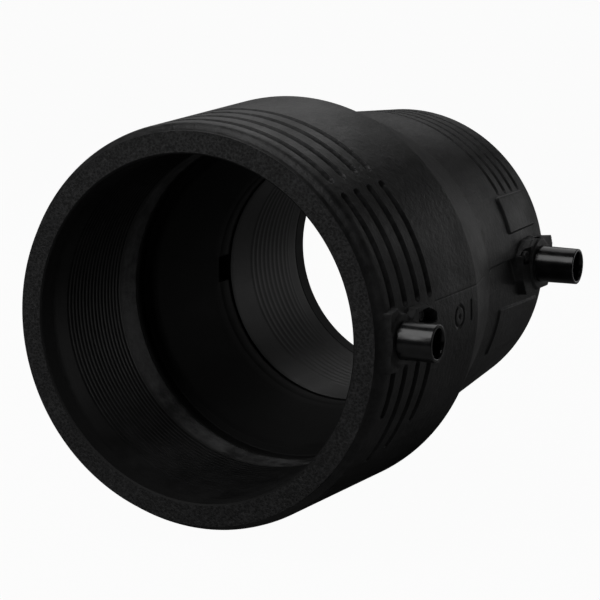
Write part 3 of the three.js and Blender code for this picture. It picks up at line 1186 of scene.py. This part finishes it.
    def build(self) -> bpy.types.Object:
        """Make the moulded body.

        Returns:
            The dressed piece.
        """
        angles = self.columns()
        rows = self.outer_rows()
        rows = rows[(rows > 0.05) | (rows == 0.0)]
        wide, along = np.meshgrid(angles, rows, indexing="ij")
        outer = self.outer_radius(wide, along)
        inner = self.inner_profile()
        inner_radius = np.tile([p[0] for p in inner], (len(angles), 1))
        inner_along = np.tile([p[1] for p in inner], (len(angles), 1))
        away = 180.0 - np.abs(angles)
        notch = step(0.3, -0.3, away * math.pi / 180 * self.mouth_radius - self.notch_width / 2)
        in_mouth = np.array([103.5 <= y <= 110.9 and r < 47.0 for r, y, _ in inner])
        inner_radius += notch[:, None] * in_mouth[None, :] * self.notch_depth
        radius = np.concatenate([outer, inner_radius], axis=1)
        places = np.concatenate([along, inner_along], axis=1)
        outer_zones = [Zone.SKIN.value] * (len(rows) - 1) + [Zone.SAWN_FACE.value]
        zones = np.array(outer_zones + [zone for *_, zone in inner])
        bore = WoundLining("body_bore", (0.003, 0.003, 0.0031), (0.009, 0.009, 0.0092), 0.55)
        finishes = [MouldedSkin().make(), SawnFace().make(), bore.make()]
        piece = ring_piece("moulded_body", angles, radius, places, finishes, zones)
        sharpen(piece, 38.0)
        return dress(piece, BODY, "moulding", "reducer_body")


# ------------------------------------------------------------------------------- the sockets


@dataclass
class Socket:
    """Wound lining of one socket, with its buried heating wire."""

    prefix: str
    start: float
    end: float
    inner: float
    outer: float
    wound_from: float
    wound_to: float
    pitch: float
    ridge: float
    wire_radius: float
    steps: tuple[tuple[float, float], ...] = ()
    columns: int = 288

    def lining(self, finish: bpy.types.Material) -> bpy.types.Object:
        """Make the lining, with a ridge in the bore over every turn of wire.

        Args:
            finish: Its material.

        Returns:
            The dressed piece.
        """
        angles = np.linspace(-180.0, 180.0, self.columns, endpoint=False)
        spacing = self.pitch / 8
        rows = merged(
            (self.start, self.end, 1.2),
            (self.wound_from - self.pitch, self.wound_to + self.pitch, spacing),
        )[::-1]
        rows = rows[(rows > self.start + 0.3) & (rows < self.end - 0.3)]
        wide, along = np.meshgrid(angles, rows, indexing="ij")
        phase = (along - self.wound_from) / self.pitch - wide / 360.0
        crest = 0.5 + 0.5 * np.cos(2 * np.pi * phase)
        fade = step(self.wound_from - 0.3, self.wound_from + 0.4, along)
        fade = fade * step(self.wound_to + 0.3, self.wound_to - 0.4, along)
        radius = self.inner - self.ridge * crest**1.5 * fade
        for place, height in self.steps:
            radius = radius - height * step(0.5, 0.1, np.abs(along - place))
        waver = np.sin(np.radians(wide) * 3 + along * 0.2) + np.sin(np.radians(wide) * 7 - along * 0.11)
        radius = radius + 0.03 * waver
        shell = [
            (self.inner + 0.15, self.start),
            (self.outer, self.start),
            (self.outer, self.end),
            (self.inner + 0.15, self.end),
        ]
        shell_radius = np.tile([p[0] for p in shell], (len(angles), 1))
        shell_along = np.tile([p[1] for p in shell], (len(angles), 1))
        piece = ring_piece(
            f"{self.prefix}_lining",
            angles,
            np.concatenate([shell_radius, radius], axis=1),
            np.concatenate([shell_along, along], axis=1),
            [finish],
        )
        sharpen(piece, 42.0)
        return dress(piece, BODY, "sleeve", f"{self.prefix}_winding_sleeve")

    def wire(self, finish: bpy.types.Material) -> bpy.types.Object:
        """Make the heating wire, wound under the ridges.

        Args:
            finish: Its material.

        Returns:
            The dressed piece.
        """
        turns = (self.wound_to - self.wound_from) / self.pitch
        t = np.linspace(0.0, 1.0, int(turns * 72))
        angle = 2 * np.pi * turns * t
        centre = self.inner - self.ridge + self.wire_radius + 0.25
        points = np.stack(
            [centre * np.cos(angle), self.wound_from + turns * self.pitch * t, centre * np.sin(angle)],
            axis=1,
        )
        piece = wire_along(f"{self.prefix}_winding", points, self.wire_radius, finish)
        return dress(piece, BODY, "heating_wire", f"{self.prefix}_socket_coil")


# ------------------------------------------------------------------------------ terminals


@dataclass
class Terminal:
    """Shroud and contact pin of one socket."""

    prefix: str
    y: float
    z: float
    seat: float
    tip: float
    outer: float = 5.9
    mouth: float = 4.7
    bore: float = 4.4
    flange: float = 7.1
    pin: float = 2.0

    def shroud(self, finish: bpy.types.Material) -> bpy.types.Object:
        """Make the open glossy tube with its rounded rim and flange.

        Args:
            finish: Its material.

        Returns:
            The dressed piece.
        """
        profile = rounded(
            [
                (0.0, self.seat, 0.0),
                (self.flange, self.seat, 0.2),
                (self.flange, self.seat + 1.5, 0.3),
                (self.outer + 0.15, self.seat + 1.6, 0.4),
                (self.outer, self.tip - 5.0, 0.0),
                (self.outer - 0.05, self.tip, 0.35),
                (self.mouth, self.tip, 0.3),
                (self.bore, self.tip - 1.2, 0.3),
                (self.bore - 0.1, self.seat + 1.7, 0.3),
                (2.4, self.seat + 1.7, 0.15),
                (2.4, self.seat + 0.3, 0.1),
                (0.0, self.seat + 0.3, 0.0),
            ]
        )
        piece = turned_along_x(f"{self.prefix}_shroud", profile, (self.y, self.z), [finish], 96)
        sharpen(piece, 50.0)
        return dress(piece, BODY, "shroud", f"{self.prefix}_terminal_shroud")

    def contact(self, finish: bpy.types.Material) -> bpy.types.Object:
        """Make the turned contact pin with its collar and chamfered nose.

        Args:
            finish: Its material.

        Returns:
            The dressed piece.
        """
        foot = self.seat + 0.5
        nose = self.tip - 5.45
        profile = rounded(
            [
                (0.0, foot, 0.0),
                (1.9, foot, 0.2),
                (1.9, self.seat + 2.0, 0.1),
                (3.1, self.seat + 2.0, 0.15),
                (3.1, self.seat + 3.2, 0.25),
                (self.pin + 0.2, self.seat + 3.3, 0.15),
                (self.pin, self.seat + 3.9, 0.2),
                (self.pin, nose - 0.9, 0.3),
                (self.pin - 0.7, nose, 0.35),
                (0.0, nose, 0.0),
            ]
        )
        piece = turned_along_x(f"{self.prefix}_contact", profile, (self.y, self.z), [finish], 48)
        sharpen(piece, 50.0)
        return dress(piece, BODY, "contact", f"{self.prefix}_terminal_pin")


@dataclass
class Indicator:
    """Fusion indicator that rises out of its well."""

    prefix: str
    y: float
    z: float
    shank: float = 1.52
    head: float = 1.92

    def build(self, finish: bpy.types.Material) -> bpy.types.Object:
        """Make the headed pin with a dished top.

        Args:
            finish: Its material.

        Returns:
            The dressed piece.
        """
        low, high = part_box(f"{self.prefix}_fusion_indicator")
        foot = low[0] / MM + 0.03
        top = high[0] / MM - 0.02
        collar = top - 1.15
        profile = rounded(
            [
                (0.0, foot, 0.0),
                (self.shank - 0.1, foot, 0.15),
                (self.shank, collar, 0.1),
                (self.head, collar, 0.12),
                (self.head, top, 0.3),
                (self.head - 0.65, top, 0.1),
                (self.head - 0.9, top - 0.3, 0.1),
                (0.0, top - 0.35, 0.0),
            ],
            4,
        )
        piece = turned_along_x(f"{self.prefix}_indicator_pin", profile, (self.y, self.z), [finish], 40)
        sharpen(piece, 45.0)
        return dress(piece, f"{self.prefix}_indicator", "indicator", f"{self.prefix}_fusion_indicator")


@dataclass
class Conductors:
    """Wires that join the windings to each other and to the contact pins."""

    names: tuple[str, ...] = ("coil_link_wire", "large_coil_lead", "small_coil_lead")

    def dress_frame(self, finish: bpy.types.Material) -> None:
        """Give the frame's own buried wires their finish.

        Args:
            finish: Their material.
        """
        for name in self.names:
            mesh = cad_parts[name].data
            mesh.materials.clear()
            mesh.materials.append(finish)
            LOG.info("%s keeps its frame mesh", name)


# ------------------------------------------------------------------------------ the studio


@dataclass
class Studio:
    """Floor, lights, surroundings and camera."""

    eye: tuple[float, float, float] = (0.29738, -0.53178, 0.12543)
    heading: float = 26.03
    drop: float = 10.73
    roll: float = 0.32
    lens: float = 120.0
    floor_drop: float = 0.004
    ambient: float = 0.02
    print_gamma: float = 0.86
    aim: Colour = (0.0, 0.08, 0.0)
    floor_half: float = 6.0
    floor_glow: float = 0.97

    def camera(self) -> None:
        """Aim the camera and make it the scene's own."""
        data = bpy.data.cameras.new("camera")
        data.sensor_width = 36.0
        data.lens = self.lens
        data.clip_start = 0.01
        data.dof.use_dof = False
        made = bpy.data.objects.new("camera", data)
        bpy.context.scene.collection.objects.link(made)
        turn = math.radians(self.heading)
        dip = math.radians(self.drop)
        level = math.cos(dip)
        forward = Vector((-math.sin(turn) * level, math.cos(turn) * level, -math.sin(dip)))
        upright = forward.to_track_quat("-Z", "Y")
        made.rotation_euler = (upright @ Quaternion((0.0, 0.0, 1.0), math.radians(self.roll))).to_euler()
        made.location = self.eye
        bpy.context.scene.camera = made

    def surroundings(self) -> None:
        """Dim all round for reflections, plain white to look at."""
        world = bpy.data.worlds.new("studio")
        world.use_nodes = True
        g = Graph(world.node_tree)
        seen = Signal(g, g.node("ShaderNodeLightPath").outputs["Is Camera Ray"])
        strength = seen + (1.0 - seen) * self.ambient
        shader = g.node("ShaderNodeBackground", {}, {"Color": (1.0, 1.0, 1.0), "Strength": strength})
        g.node("ShaderNodeOutputWorld", {}, {"Surface": shader.outputs[0]})
        bpy.context.scene.world = world

    def floor(self) -> None:
        """Plain pale floor under the part."""
        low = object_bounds()[0][2] - self.floor_drop
        half = self.floor_half
        corners = np.array([(-half, -half), (half, -half), (half, half), (-half, half)])
        vertices = np.column_stack([corners, np.full(4, low)]) / MM
        material, g = new_material("pale_floor")
        seen = Signal(g, g.node("ShaderNodeLightPath").outputs["Is Camera Ray"])
        plain = g.node("ShaderNodeBsdfDiffuse", {}, {"Color": (0.35, 0.35, 0.35)})
        glow = g.node("ShaderNodeEmission", {}, {"Color": (1.0, 1.0, 1.0), "Strength": 1.0})
        both = g.node(
            "ShaderNodeMixShader", {}, {0: seen * self.floor_glow, 1: plain.outputs[0], 2: glow.outputs[0]}
        )
        g.node("ShaderNodeOutputMaterial", {}, {"Surface": both.outputs[0]})
        made = mesh_object("floor", vertices, np.array([[0, 1, 2, 3]]), [material])
        made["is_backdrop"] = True

    def light(self, name: str, place: Colour, power: float, size: float) -> None:
        """Add one soft panel that faces the part.

        Args:
            name: The light's name.
            place: Where it is.
            power: Watts.
            size: Width of the panel.
        """
        data = bpy.data.lights.new(name, "AREA")
        data.energy = power
        data.size = size
        made = bpy.data.objects.new(name, data)
        made.location = place
        made.rotation_euler = (Vector(self.aim) - Vector(place)).to_track_quat("-Z", "Y").to_euler()
        bpy.context.scene.collection.objects.link(made)

    def build(self) -> None:
        """Set up the whole studio."""
        self.camera()
        self.surroundings()
        self.floor()
        self.light("front_panel", (-0.25, -0.50, 0.30), 0.70, 0.22)
        self.light("top_panel", (-0.05, -0.22, 0.42), 1.0, 0.35)
        self.light("back_panel", (-0.20, 0.50, 0.50), 1.1, 0.60)
        self.light("bore_panel", (0.22, 0.60, 0.05), 0.20, 0.30)
        self.light("side_panel", (0.75, 0.30, 0.10), 0.16, 0.30)
        bpy.context.scene.view_settings.view_transform = "Standard"
        bpy.context.scene.view_settings.gamma = self.print_gamma


# ---------------------------------------------------------------------------------- build


def plain(bounds: Sequence[Sequence[float]]) -> list[list[float]]:
    """A box as plain lists."""
    return [[float(v) for v in corner] for corner in bounds]


def main() -> None:
    """Build every piece in order."""
    logging.basicConfig(level=logging.INFO, format="%(name)s: %(message)s")
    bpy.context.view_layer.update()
    lining = WoundLining().make()
    shroud = GlossPlastic().make()
    brass = Metal(Alloy.BRASS).make()
    wire = Metal(Alloy.COPPER_ALLOY).make()
    button = MouldedSkin("indicator_polyethylene").make()
    Moulding().build()
    large = Socket("large", 6.85, 60.15, 55.3, 58.8, 15.4, 49.0, 2.1, 0.22, 0.42, ((56.0, 0.12),))
    steps = ((158.0, 0.1), (163.0, 0.1))
    small = Socket("small", 110.85, 165.05, 44.9, 49.2, 126.0, 156.0, 3.5, 0.18, 0.42, steps)
    for socket in (large, small):
        socket.lining(lining)
        socket.wire(wire)
    near = Terminal("large", 12.0, 1.5, 62.0, 77.95)
    far = Terminal("small", 154.0, 3.0, 58.4, 74.35, 6.45, 5.35, 5.0, 7.7)
    for terminal in (near, far):
        terminal.shroud(shroud)
        terminal.contact(brass)
    for indicator in (Indicator("large", 30.0, 5.75), Indicator("small", 141.0, 7.5)):
        indicator.build(button)
    Conductors().dress_frame(wire)
    Studio().build()
    LOG.info("all pieces built")


if __name__ == "__main__":
    main()
